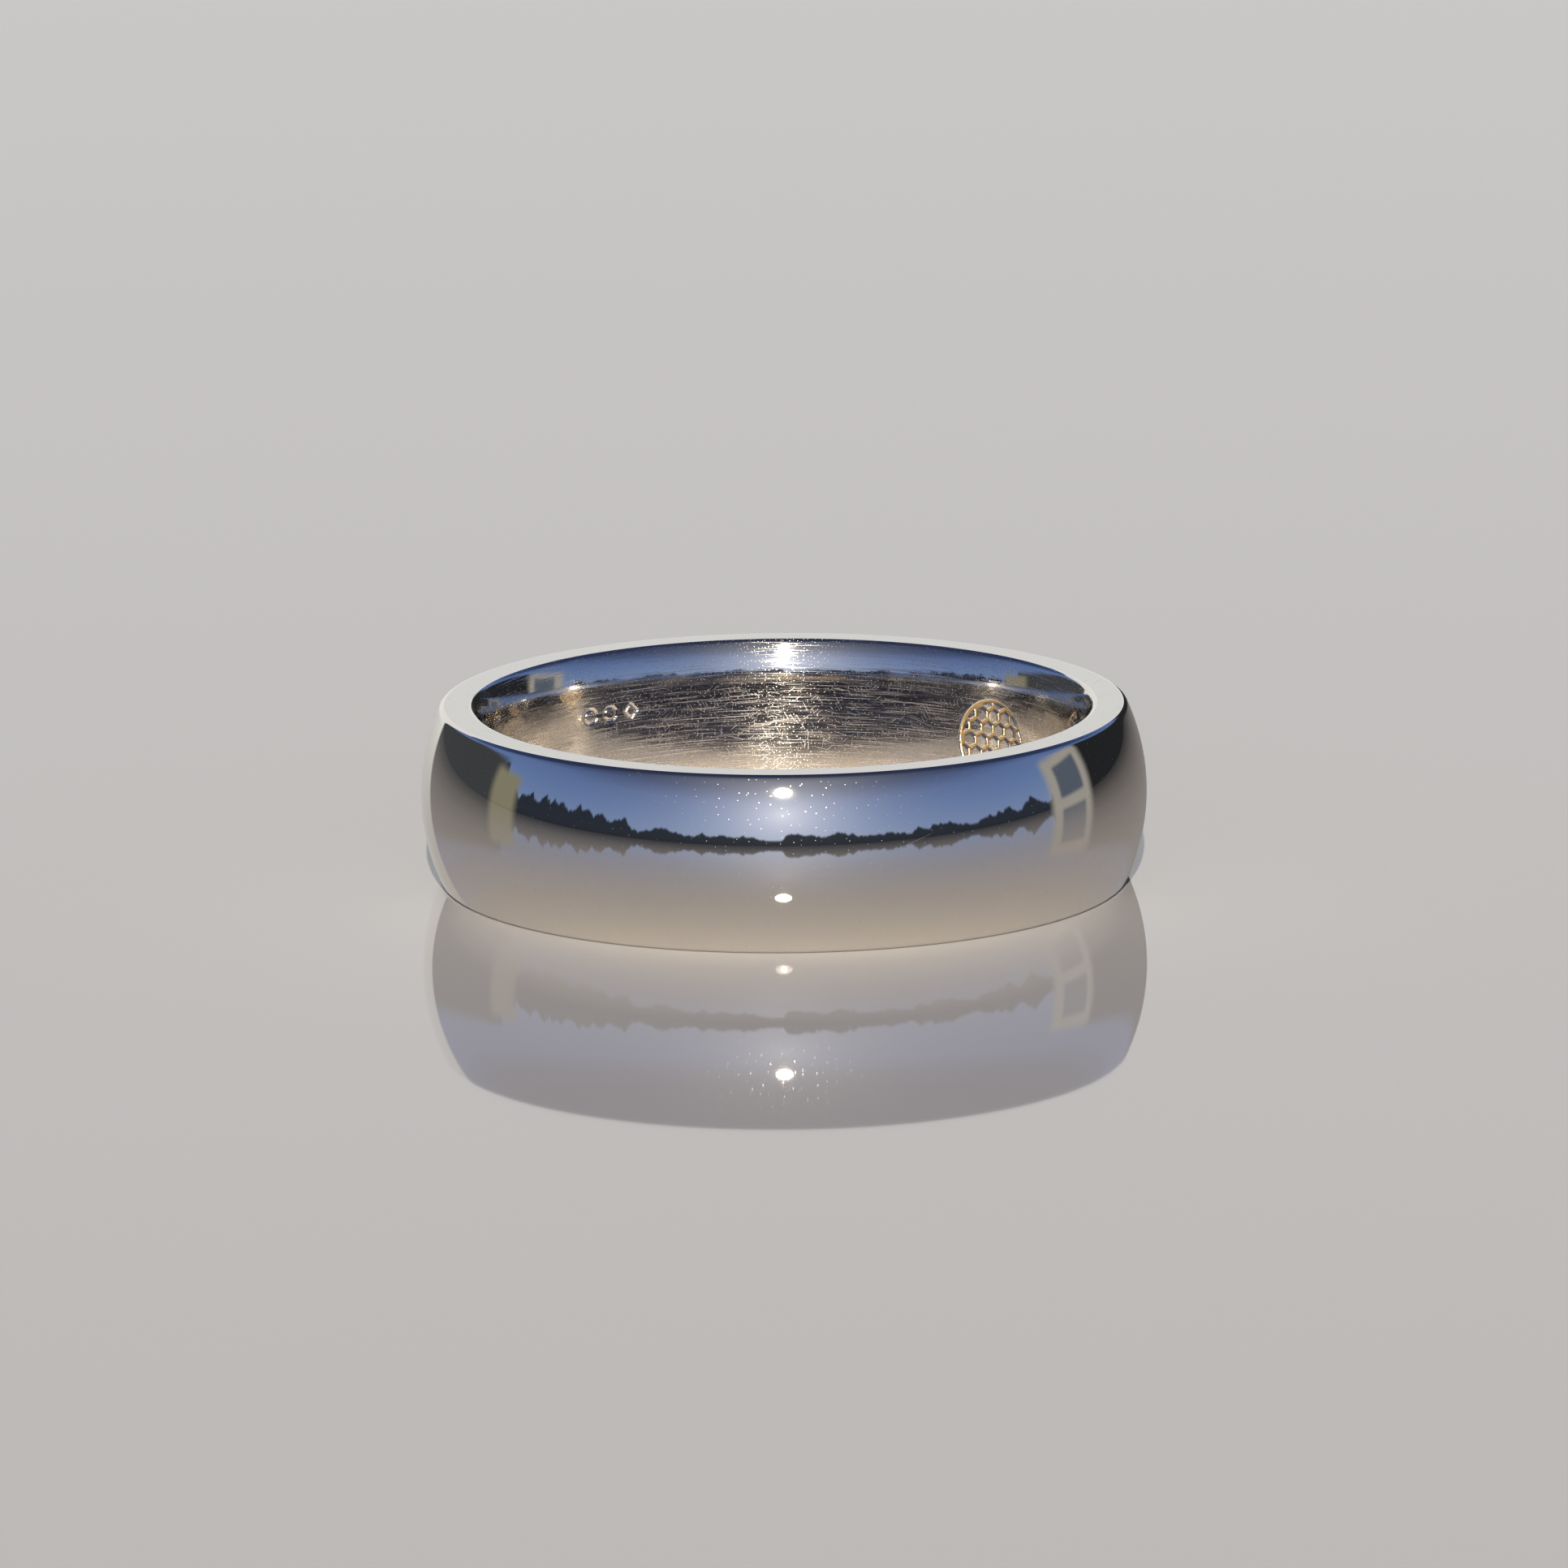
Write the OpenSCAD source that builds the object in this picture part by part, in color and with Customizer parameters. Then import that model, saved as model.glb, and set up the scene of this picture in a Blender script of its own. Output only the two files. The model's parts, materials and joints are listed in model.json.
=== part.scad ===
// Plain court-section wedding band: one solid ring of white gold, domed outside
// and comfort-rounded inside, with flat rims and shallow marks in its bore.
// Millimetres. The axis is +Z and the lower rim lies on Z = 0.

/* [Band] */
// Width of the band along its axis
band_w = 6; // [4:0.5:8]
// Diameter over the crown of the dome
crown_d = 24.42; // [24:0.02:25]
// Diameter of each flat rim's outer edge
rim_outer_d = 23.06; // [22.6:0.02:23.4]
// Diameter of each flat rim's inner edge
rim_inner_d = 20.86; // [20.7:0.02:21.2]
// Finger bore, between the two comfort shoulders: 63 mm round inside
bore_d = 20.1; // [19.8:0.01:20.4]
// Width of each comfort shoulder, from the rim to the plain bore
shoulder_w = 1.42; // [1:0.02:1.5]
// Radius that rounds each edge of the rims
edge_r = 0.2; // [0.05:0.01:0.25]

/* [Engraving] */
// Depth of the engraved lines below the plain bore
engrave_depth = 0.06; // [0.03:0.01:0.15]
// Width of an engraved line
line_w = 0.1; // [0.06:0.01:0.12]
// Radius of the round lattice mark
lattice_r = 1.5; // [0.8:0.1:1.5]
// Distance between the centres of two lattice cells
cell_pitch = 0.54; // [0.45:0.01:0.7]
// Angle of the lattice mark round the bore, from +X
lattice_angle = 44.6; // [0:0.1:360]
// Height of one punch mark
punch_h = 0.6; // [0.4:0.02:0.8]
// Angle of the middle punch mark, from +X
punch_angle = 126; // [0:0.1:360]
// Angle between two punch marks
punch_step = 4.8; // [4.5:0.1:8]
// Height of the row of punch marks above the lower rim
punch_z = 3.9; // [2.2:0.05:3.9]

/* [Hidden] */
$fn = 180;
edge_steps = 6;
white_gold = [0.80, 0.78, 0.74];
reach = 2;
mid_z = band_w / 2;
crown_r = crown_d / 2;
bore_r = bore_d / 2;
// The dome is one arc through both rims' outer edges and the crown.
dome_rise = (crown_d - rim_outer_d) / 2;
dome_r = (pow(mid_z, 2) + pow(dome_rise, 2)) / (2 * dome_rise);
dome_centre = [crown_r - dome_r, mid_z];
// Each shoulder is one arc, tangent to the bore and ending at the rim's inner edge.
shoulder_rise = (rim_inner_d - bore_d) / 2;
shoulder_r = (pow(shoulder_w, 2) + pow(shoulder_rise, 2)) / (2 * shoulder_rise);
shoulder_centre = [bore_r + shoulder_r, band_w - shoulder_w];
// How many rows of cells reach past the lattice mark's edge
cell_rows = ceil(lattice_r / cell_pitch) + 1;

// Points on an arc round centre, from one angle to another.
function arc(centre, r, from, to, steps) =
    [for (i = [0 : steps]) let (a = from + (to - from) * i / steps)
        centre + r * [cos(a), sin(a)]];

// Centre of the edge's own arc, which is tangent to the rim's plane and to the arc of
// radius r round centre. side is 1 outside the band and -1 inside it.
function edge_centre(centre, r, side) =
    [centre[0] + side * sqrt(pow(r - edge_r, 2) - pow(band_w - edge_r - centre[1], 2)),
     band_w - edge_r];

// Everything between the plain bore and the far side of both shoulder arcs.
module inside_contour() {
    translate([bore_r, shoulder_w]) square([shoulder_r, band_w - 2 * shoulder_w]);
    for (flip = [0, 1])
        translate([0, flip * band_w]) mirror([0, flip]) intersection() {
            translate(shoulder_centre) circle(r = shoulder_r);
            translate([0, shoulder_centre[1]]) square([crown_r + reach, shoulder_w]);
        }
}

// What is cut from one upper corner of the section to leave the edge's arc.
module edge_cutter(centre, r, side) {
    q = edge_centre(centre, r, side);
    tangent = atan2(q[1] - centre[1], q[0] - centre[0]);
    polygon(concat(
        arc(q, edge_r, 90, tangent, edge_steps),
        [q + (edge_r + reach) * [cos(tangent), sin(tangent)],
         q + [side * reach, edge_r + reach],
         q + [0, edge_r + reach]]));
}

// Half of the band's cross-section, at its true radius from the axis.
module section() {
    difference() {
        intersection() {
            inside_contour();
            translate(dome_centre) circle(r = dome_r);
        }
        for (flip = [0, 1])
            translate([0, flip * band_w]) mirror([0, flip]) {
                edge_cutter(dome_centre, dome_r, 1);
                edge_cutter(shoulder_centre, shoulder_r, -1);
            }
    }
}

// A flat drawing cut into the bore at an angle and a height, to the engraving's depth.
module engrave(angle, z) {
    intersection() {
        rotate([0, 0, angle]) translate([bore_r - reach, 0, z])
            rotate([90, 0, 90]) linear_extrude(height = 2 * reach) children();
        cylinder(r = bore_r + engrave_depth, h = band_w);
    }
}

// The six-sided cells that the lattice mark leaves standing.
module lattice_cells() {
    row_step = cell_pitch * sqrt(3) / 2;
    cell_r = (cell_pitch - line_w) / sqrt(3);
    for (row = [-cell_rows : cell_rows], column = [-cell_rows : cell_rows])
        let (x = (column + (row % 2 == 0 ? 0 : 0.5)) * cell_pitch, y = row * row_step)
            if (norm([x, y]) < lattice_r + cell_r)
                translate([x, y]) rotate(30) circle(r = cell_r, $fn = 6);
}

// Round mark of fine lines round six-sided cells.
module lattice_mark() {
    difference() {
        circle(r = lattice_r);
        intersection() {
            circle(r = lattice_r - line_w);
            lattice_cells();
        }
    }
}

// The outline of one punch mark: 0 is round, 1 eight-sided, 2 a lozenge.
module punch_shape(kind, size) {
    if (kind == 0) circle(d = size);
    if (kind == 1) rotate(22.5) circle(d = size, $fn = 8);
    if (kind == 2) circle(d = size, $fn = 4);
}

// One punch mark: a sunk outline round a plain raised centre.
module punch_mark(kind) {
    difference() {
        punch_shape(kind, punch_h);
        punch_shape(kind, punch_h - 2 * line_w);
    }
}

// The row of three punch marks.
module punch_row() {
    for (kind = [0 : 2])
        engrave(punch_angle + (1 - kind) * punch_step, punch_z) punch_mark(kind);
}

// The ring itself, with its marks cut into the bore.
module band() {
    color(white_gold) difference() {
        rotate_extrude() section();
        engrave(lattice_angle, mid_z) lattice_mark();
        punch_row();
    }
}

band();
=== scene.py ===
"""A plain court-section wedding band of polished white gold, resting on a pale glossy table."""

import json
import logging
import math
from dataclasses import dataclass, field
from enum import Enum, IntEnum
from typing import Any, Sequence

import bpy
import numpy as np
from mathutils import Matrix, Vector

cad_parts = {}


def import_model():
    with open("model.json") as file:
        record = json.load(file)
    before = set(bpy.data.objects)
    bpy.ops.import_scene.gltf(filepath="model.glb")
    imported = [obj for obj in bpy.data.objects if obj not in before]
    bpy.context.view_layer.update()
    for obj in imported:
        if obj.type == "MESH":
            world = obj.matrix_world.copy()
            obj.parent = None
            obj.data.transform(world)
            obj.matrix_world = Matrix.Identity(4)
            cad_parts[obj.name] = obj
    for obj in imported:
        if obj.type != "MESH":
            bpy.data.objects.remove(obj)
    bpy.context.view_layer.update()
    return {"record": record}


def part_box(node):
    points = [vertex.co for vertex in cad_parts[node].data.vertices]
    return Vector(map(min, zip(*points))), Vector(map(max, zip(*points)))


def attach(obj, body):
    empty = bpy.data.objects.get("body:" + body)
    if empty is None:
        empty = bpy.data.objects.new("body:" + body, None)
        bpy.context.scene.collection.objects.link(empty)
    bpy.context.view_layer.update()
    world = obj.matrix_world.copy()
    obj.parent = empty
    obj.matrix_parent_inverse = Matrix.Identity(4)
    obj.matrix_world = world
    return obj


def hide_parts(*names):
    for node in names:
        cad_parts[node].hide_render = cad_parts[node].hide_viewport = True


Tree, Node, Socket = bpy.types.NodeTree, bpy.types.Node, bpy.types.NodeSocket
Source = Node | Socket

LOG = logging.getLogger("wedding_band")
MM = 0.001


# ---------------------------------------------------------------- small shared helpers


def linear(hex_colour: str) -> tuple[float, float, float, float]:
    """Turns an sRGB hex colour into the linear colour that a shader socket takes.

    Args:
        hex_colour: Six hex digits, with or without a leading #.

    Returns:
        Red, green, blue and an alpha of 1.
    """
    digits = hex_colour.lstrip("#")
    srgb = np.array([int(digits[i : i + 2], 16) for i in (0, 2, 4)]) / 255.0
    low, high = srgb / 12.92, ((srgb + 0.055) / 1.055) ** 2.4
    return (*np.where(srgb <= 0.04045, low, high).tolist(), 1.0)


def add_node(
    tree: Tree, kind: str, inputs: dict[str | int, Any] | None = None, **settings: Any
) -> Node:
    """Adds one node, with its settings and what its inputs take.

    Args:
        tree: The node tree that the node goes in.
        kind: The node's type name, after ShaderNode.
        inputs: Input name or number to a plain value, or to the socket that feeds it, or to
            the node whose first output does.
        **settings: The node's own properties.

    Returns:
        The new node.
    """
    node = tree.nodes.new("ShaderNode" + kind)
    for name, value in settings.items():
        setattr(node, name, value)
    for key, value in (inputs or {}).items():
        if isinstance(value, Node):
            value = value.outputs[0]
        if isinstance(value, Socket):
            tree.links.new(value, node.inputs[key])
        else:
            node.inputs[key].default_value = value
    return node


def bare_tree(owner: bpy.types.Material | bpy.types.World) -> Tree:
    """Turns on the owner's node tree and empties it.

    Args:
        owner: A new material or world.

    Returns:
        The tree, with no nodes.
    """
    owner.use_nodes = True
    owner.node_tree.nodes.clear()
    return owner.node_tree


def add_object(name: str, data: bpy.types.ID) -> bpy.types.Object:
    """Puts a new object in the scene, at the origin.

    Args:
        name: Its name.
        data: Its mesh, lamp or camera.

    Returns:
        The object.
    """
    thing = bpy.data.objects.new(name, data)
    bpy.context.scene.collection.objects.link(thing)
    return thing


def direction(azimuth: float, elevation: float) -> Vector:
    """The way to degrees of azimuth and elevation: (sin a cos e, -cos a cos e, sin e)."""
    a, e = math.radians(azimuth), math.radians(elevation)
    return Vector((math.sin(a) * math.cos(e), -math.cos(a) * math.cos(e), math.sin(e)))


def ease(t: np.ndarray) -> np.ndarray:
    """Smooth step from 0 to 1 as t goes from 0 to 1: 3t^2 - 2t^3, held flat outside."""
    t = np.clip(t, 0.0, 1.0)
    return t * t * (3.0 - 2.0 * t)


# ---------------------------------------------------------------- finishes


class Zone(IntEnum):
    """The parts of the band's skin that are finished differently, as material slots."""

    DOME = 0
    RIM = 1
    BORE = 2


@dataclass(frozen=True)
class Wear:
    """One family of like marks in the polish: straight hairline scratches, or specks.

    Attributes:
        gap_mm: Mean distance between two marks side by side.
        width_mm: Greatest width of one mark.
        length_mm: Its length; a speck is as long as it is wide.
        angle_deg: Its direction, from the way round the band.
    """

    gap_mm: float
    width_mm: float
    length_mm: float
    angle_deg: float = 0.0

    def cut(self, tree: Tree, place: Source) -> Node:
        """Distance to the nearest of some scattered points, in a plane squeezed along the marks.

        The plane is squeezed until a mark's length counts for as much as its width, so the
        points' round neighbourhoods come out as long thin ellipses.

        Args:
            tree: The material's tree.
            place: Metres round the band and across its skin.

        Returns:
            1 in a mark and 0 beside it.
        """
        run_mm = self.gap_mm * self.length_mm / self.width_mm
        turn = (0.0, 0.0, math.radians(self.angle_deg))
        squeeze = (run_mm * MM, self.gap_mm * MM, 1.0)
        squeezed = add_node(
            tree,
            "Mapping",
            {"Vector": place, "Rotation": turn, "Scale": squeeze},
            vector_type="TEXTURE",
        )
        cells = add_node(
            tree, "TexVoronoi", {"Vector": squeezed, "Scale": 1.0}, voronoi_dimensions="2D"
        )
        # Each cell's own random share makes its mark smaller, down to nothing.
        share = add_node(tree, "SeparateColor", {"Color": cells.outputs["Color"]})
        grown = add_node(tree, "Math", {0: cells, 1: share}, operation="DIVIDE")
        half = 0.5 * self.width_mm / self.gap_mm
        return add_node(
            tree,
            "MapRange",
            {"Value": grown, "From Min": 0.5 * half, "From Max": half, "To Min": 1.0, "To Max": 0.0},
        )


@dataclass(frozen=True)
class WhiteGoldFinish:
    """Natural white gold, unplated, so a little warm. How it was polished sets the rest.

    Attributes:
        name: The material's name.
        colour: Reflected colour of the bare alloy.
        roughness: Microscopic roughness of the polish.
        haze: Extra roughness where fine wear has dulled it, in patches.
        patch: Size of a patch.
        patch_range: The patches' noise levels from no haze to full haze.
        worn_roughness: Roughness inside the hairlines and specks.
        relief_um: Depth of the hairlines, in micrometres.
        turned_um: Height of the turning marks round the axis, in micrometres.
        turned_pitch: Distance between two turning marks along the axis.
        turned_run: Length of a turning mark round the axis.
        turned_range: Noise levels from sound polish to a turning mark's crest.
        turned_roughness: Roughness of a turning mark.
        anisotropy: How far light stretches across the turning marks, along the axis.
        wear: The families of hairlines and specks that mark it.
    """

    name: str
    colour: str = "#E0DBD3"
    roughness: float = 0.03
    haze: float = 0.02
    patch: float = 1.6 * MM
    patch_range: tuple[float, float] = (0.35, 0.7)
    worn_roughness: float = 0.3
    relief_um: float = 0.2
    turned_um: float = 0.0
    turned_pitch: float = MM / 34.0
    turned_run: float = 2.0 * MM
    turned_range: tuple[float, float] = (0.52, 0.77)
    turned_roughness: float = 0.34
    anisotropy: float = 0.0
    wear: tuple[Wear, ...] = ()

    def material(self) -> bpy.types.Material:
        """Builds the finish as one metal shader whose wear sets its roughness and relief.

        Returns:
            The material.
        """
        mat = bpy.data.materials.new(self.name)
        tree = bare_tree(mat)
        place = add_node(tree, "TexCoord").outputs["Object"]
        scale, (low, high) = 1.0 / self.patch, self.patch_range
        patches = add_node(tree, "TexNoise", {"Vector": place, "Scale": scale, "Detail": 3.0})
        best, dull = self.roughness, self.roughness + self.haze
        polish = add_node(
            tree,
            "MapRange",
            {"Value": patches, "From Min": low, "From Max": high, "To Min": best, "To Max": dull},
        )
        worn = self.worn(tree, place)
        turned = self.turned(tree, place) if self.turned_um else None
        if turned:
            polish = add_node(tree, "Mix", {0: turned, 2: polish, 3: self.turned_roughness})
        rough = add_node(tree, "Mix", {0: worn, 2: polish, 3: self.worn_roughness})
        colour, rough = self.marked(tree, rough)
        inputs = {
            "Base Color": colour,
            "Metallic": 1.0,
            "Roughness": rough,
            "Normal": self.relief(tree, worn, turned),
        }
        if self.anisotropy:
            # A quarter turn sets the stretch across the way round, so along the axis.
            inputs["Anisotropic"], inputs["Anisotropic Rotation"] = self.anisotropy, 0.25
            inputs["Tangent"] = add_node(tree, "Tangent", direction_type="RADIAL", axis="Z")
        shader = add_node(tree, "BsdfPrincipled", inputs)
        add_node(tree, "OutputMaterial", {"Surface": shader})
        return mat

    def worn(self, tree: Tree, place: Source) -> Node:
        """Where the metal is worn, from 0 to 1: its families of wear, everywhere."""
        return self.lay(tree, self.wear)

    @staticmethod
    def lay(tree: Tree, families: Sequence[Wear]) -> Node:
        """Lays families of wear over each other: the greatest of them counts.

        Args:
            tree: The material's tree.
            families: The families.

        Returns:
            0 on sound polish and 1 in a scratch or a speck.
        """
        flat = add_node(tree, "UVMap", uv_map=BandSkin.UNROLLED)
        size = (BandSkin.ROUND, BandSkin.GIRTH, 1.0)
        skin = add_node(tree, "Mapping", {"Vector": flat, "Scale": size})
        total = families[0].cut(tree, skin)
        for family in families[1:]:
            mark = family.cut(tree, skin)
            total = add_node(tree, "Math", {0: total, 1: mark}, operation="MAXIMUM")
        return total

    def turned(self, tree: Tree, place: Source) -> Node:
        """Draws the turning marks that the polish has left standing, round the axis.

        They come from a noise that changes every few hundredths of a millimetre along the
        axis, but only every few millimetres round it, and only where it is high.

        Args:
            tree: The material's tree.
            place: Object coordinates.

        Returns:
            0 on the mirror between them, rising to 1 on a mark's crest.
        """
        squeeze = (1.0 / self.turned_run, 1.0 / self.turned_run, 1.0 / self.turned_pitch)
        stretched = add_node(tree, "Mapping", {"Vector": place, "Scale": squeeze})
        waves = add_node(tree, "TexNoise", {"Vector": stretched, "Scale": 1.0, "Detail": 1.0})
        low, high = self.turned_range
        return add_node(tree, "MapRange", {"Value": waves, "From Min": low, "From Max": high})

    def relief(self, tree: Tree, worn: Node, turned: Node | None) -> Node:
        """Sinks the wear, and raises the turning marks.

        Args:
            tree: The material's tree.
            worn: Where the metal is worn.
            turned: Where a turning mark stands, if there are any.

        Returns:
            The shading normal.
        """
        depth, height = self.relief_um * 1e-6, self.turned_um * 1e-6
        sunk = add_node(
            tree, "Bump", {"Height": worn, "Strength": 1.0, "Distance": depth}, invert=True
        )
        if turned is None:
            return sunk
        return add_node(
            tree, "Bump", {"Height": turned, "Strength": 1.0, "Distance": height, "Normal": sunk}
        )

    def marked(self, tree: Tree, rough: Node) -> tuple[Any, Node]:
        """The colour and the roughness with what engraving changes; here there is none."""
        return linear(self.colour), rough


@dataclass(frozen=True)
class BoreFinish(WhiteGoldFinish):
    """The bore's white gold, with the gold-toned floor that a laser leaves in its marks.

    Attributes:
        mark_colour: Colour of a laser mark's floor.
        mark_roughness: Its roughness.
        rubbed: Further wear where a finger rubs.
        middle: Height of the bore's middle.
        rubbed_from: How far from the middle the rubbing begins to fade.
        rubbed_to: How far from the middle it has gone.
    """

    mark_colour: str = "#E6C68C"
    mark_roughness: float = 0.42
    rubbed: tuple[Wear, ...] = ()
    middle: float = 3.0 * MM
    rubbed_from: float = 1.3 * MM
    rubbed_to: float = 1.95 * MM

    def worn(self, tree: Tree, place: Source) -> Node:
        """The wear that lies everywhere, with what the finger adds in the plain stretch.

        Args:
            tree: The material's tree.
            place: Object coordinates.

        Returns:
            0 on sound polish and 1 in a scratch or a speck.
        """
        everywhere = self.lay(tree, self.wear)
        rubbed = self.lay(tree, self.rubbed)
        height = add_node(tree, "SeparateXYZ", {0: place}).outputs["Z"]
        away = add_node(tree, "Math", {0: height, 1: self.middle}, operation="SUBTRACT")
        aside = add_node(tree, "Math", {0: away}, operation="ABSOLUTE")
        share = add_node(
            tree,
            "MapRange",
            {"Value": aside, "From Min": self.rubbed_to, "From Max": self.rubbed_from},
            interpolation_type="SMOOTHSTEP",
        )
        added = add_node(tree, "Math", {0: rubbed, 1: share}, operation="MULTIPLY")
        return add_node(tree, "Math", {0: everywhere, 1: added}, operation="MAXIMUM")

    def marked(self, tree: Tree, rough: Node) -> tuple[Any, Node]:
        """Turns colour and roughness to the marks' own where the metal is engraved.

        Args:
            tree: The material's tree.
            rough: The worn metal's roughness.

        Returns:
            The socket that gives the colour, and the roughness.
        """
        share = add_node(tree, "Attribute", attribute_name=BandSkin.GILT).outputs["Fac"]
        colours = {0: share, 6: linear(self.colour), 7: linear(self.mark_colour)}
        colour = add_node(tree, "Mix", colours, data_type="RGBA").outputs[2]
        return colour, add_node(tree, "Mix", {0: share, 2: rough, 3: self.mark_roughness})


# ---------------------------------------------------------------- the band


@dataclass(frozen=True)
class CourtSection:
    """The band's cross-section, in metres, as a closed loop of rows.

    The dome is one arc, each comfort shoulder is one arc tangent to the bore, the rims are
    flat, and each of the four edges is broken by a small arc.

    Attributes:
        width: Width along the axis.
        crown_r: Radius over the crown.
        bore_r: Radius of the plain bore.
        rim_outer_r: Where the dome's arc meets the rim's plane.
        rim_inner_r: Where the shoulder's arc meets the rim's plane.
        shoulder_w: Width of a shoulder.
        edge_r: Radius of the edges.
        dome_rows: Rows over the dome.
        shoulder_rows: Rows over a shoulder.
        bore_rows: Rows over the plain bore.
        edge_rows: Rows over an edge.
        rim_rows: Where the rim's rows lie, from its outer edge at 0 to its inner one at 1.
            Rows close beside each edge keep the rim's shading flat right up to it.
    """

    width: float
    crown_r: float
    bore_r: float
    rim_outer_r: float = 11.53 * MM
    rim_inner_r: float = 10.43 * MM
    shoulder_w: float = 1.42 * MM
    edge_r: float = 0.2 * MM
    dome_rows: int = 50
    shoulder_rows: int = 14
    bore_rows: int = 32
    edge_rows: int = 7
    rim_rows: tuple[float, ...] = (0.02, 0.06, 0.35, 0.65, 0.94, 0.98)

    @staticmethod
    def arc_radius(half_chord: float, rise: float) -> float:
        """Radius of the arc with this half chord and rise: (c^2 + h^2) / 2h."""
        return (half_chord**2 + rise**2) / (2.0 * rise)

    @staticmethod
    def arc(centre: np.ndarray, radius: float, start: float, end: float, rows: int) -> np.ndarray:
        """Points at even steps of angle in radians: centre + radius * (cos, sin)."""
        a = np.linspace(start, end, rows + 1)
        return centre + radius * np.stack([np.cos(a), np.sin(a)], axis=-1)

    def edge_centre(self, centre: np.ndarray, radius: float, side: float) -> np.ndarray:
        """Centre of the edge's arc, tangent inside to the top plane and to the given arc.

        Args:
            centre: Centre of the dome's or the shoulder's arc.
            radius: That arc's radius.
            side: 1 for the outer edge and -1 for the inner one.

        Returns:
            Radius and height.
        """
        z = self.width - self.edge_r
        reach = math.sqrt((radius - self.edge_r) ** 2 - (z - centre[1]) ** 2)
        return np.array([centre[0] + side * reach, z])

    def upper_half(self) -> tuple[np.ndarray, np.ndarray]:
        """The rows from the middle of the dome, over the top rim, to the middle of the bore.

        Returns:
            The points, and the zone of the strip that follows each point.
        """
        mid = self.width / 2.0
        dome_r = self.arc_radius(mid, self.crown_r - self.rim_outer_r)
        dome_c = np.array([self.crown_r - dome_r, mid])
        sh_r = self.arc_radius(self.shoulder_w, self.rim_inner_r - self.bore_r)
        sh_c = np.array([self.bore_r + sh_r, self.width - self.shoulder_w])
        outer = self.edge_centre(dome_c, dome_r, 1.0)
        inner = self.edge_centre(sh_c, sh_r, -1.0)
        tilt_out = math.atan2(outer[1] - dome_c[1], outer[0] - dome_c[0])
        tilt_in = math.atan2(inner[1] - sh_c[1], inner[0] - sh_c[0])
        dome = self.arc(dome_c, dome_r, 0.0, tilt_out, self.dome_rows // 2)
        edge_out = self.arc(outer, self.edge_r, tilt_out, math.pi / 2, self.edge_rows)
        r0, r1 = edge_out[-1, 0], inner[0]
        flat = r0 + (r1 - r0) * np.array(self.rim_rows)
        rim = np.stack([flat, np.full(flat.size, self.width)], axis=-1)
        edge_in = self.arc(inner, self.edge_r, math.pi / 2, tilt_in, self.edge_rows)
        shoulder = self.arc(sh_c, sh_r, tilt_in, math.pi, self.shoulder_rows)
        half_bore = (self.width - 2.0 * self.shoulder_w) / 2.0
        steps = np.linspace(0.0, half_bore, self.bore_rows // 2 + 1)[1:]
        bore = np.stack([np.full(steps.size, self.bore_r), sh_c[1] - steps], axis=-1)
        parts = [dome[:-1], edge_out, rim, edge_in, shoulder[1:], bore]
        zones = [Zone.DOME, Zone.DOME, Zone.RIM, Zone.BORE, Zone.BORE, Zone.BORE]
        labels = np.concatenate([np.full(len(p), z) for p, z in zip(parts, zones)])
        labels[len(parts[0]) + len(parts[1]) - 1] = Zone.RIM
        return np.concatenate(parts), labels

    def loop(self) -> tuple[np.ndarray, np.ndarray]:
        """The whole closed section: the upper half, then its mirror image run backwards.

        Returns:
            The rows' radius and height, and the zone of the strip after each row.
        """
        upper, zones = self.upper_half()
        lower = upper[1:-1][::-1] * [1.0, -1.0] + [0.0, self.width]
        points = np.concatenate([upper, lower])
        # The strip after row k of the mirrored half is the mirror of the strip before it.
        mirrored = zones[:-1][::-1]
        return points, np.concatenate([zones[:-1], mirrored])


class Punch(Enum):
    """Outlines of the small plain punch marks, by the number of sides; 0 is round."""

    ROUND = 0
    EIGHT_SIDED = 8
    LOZENGE = 4


@dataclass(frozen=True)
class Mark:
    """A mark cut into the bore, drawn on the bore's wall unrolled flat.

    Attributes:
        angle_deg: Its angle round the axis, from +X.
        height: Height of its centre above the lower rim.
        half: Half the side of the square that holds it.
        line_w: Width of its lines.
        gilt: How far its lines have the laser's gold tone.
    """

    angle_deg: float
    height: float
    half: float
    line_w: float = 0.1 * MM
    gilt: float = 1.0

    def inside(self, u: np.ndarray, v: np.ndarray) -> np.ndarray:
        """Distance into the cut lines at (u, v), positive inside a line. Each mark has its own."""
        raise NotImplementedError


@dataclass(frozen=True)
class LatticeMark(Mark):
    """A round mark of fine lines that leave six-sided cells standing.

    Attributes:
        radius: The mark's radius.
        pitch: Distance between the centres of two cells.
    """

    radius: float = 1.5 * MM
    pitch: float = 0.54 * MM

    def inside(self, u: np.ndarray, v: np.ndarray) -> np.ndarray:
        """Six-sided cells on a triangular grid, inside a rim line.

        The distance to the nearest cell's wall is half the pitch less the greatest of the
        point's three projections on the cell's own normals.

        Args:
            u: Distance along the wall from the mark's centre.
            v: Height from the mark's centre.

        Returns:
            Distance into the lines.
        """
        row_step = self.pitch * math.sqrt(3.0) / 2.0
        nearest = np.full(u.shape, np.inf)
        for parity in (0, 1):
            row = 2.0 * np.round((v / row_step - parity) / 2.0) + parity
            shift = 0.5 * parity
            column = np.round(u / self.pitch - shift) + shift
            x, y = u - column * self.pitch, v - row * row_step
            ways = [abs(x * math.cos(a) + y * math.sin(a)) for a in np.radians([0, 60, 120])]
            nearest = np.minimum(nearest, np.max(ways, axis=0))
        wall = self.line_w / 2.0 - (self.pitch / 2.0 - nearest)
        distance = np.hypot(u, v)
        rim = self.line_w / 2.0 - abs(distance - (self.radius - self.line_w / 2.0))
        return np.maximum(np.minimum(wall, self.radius - distance), rim)


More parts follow.
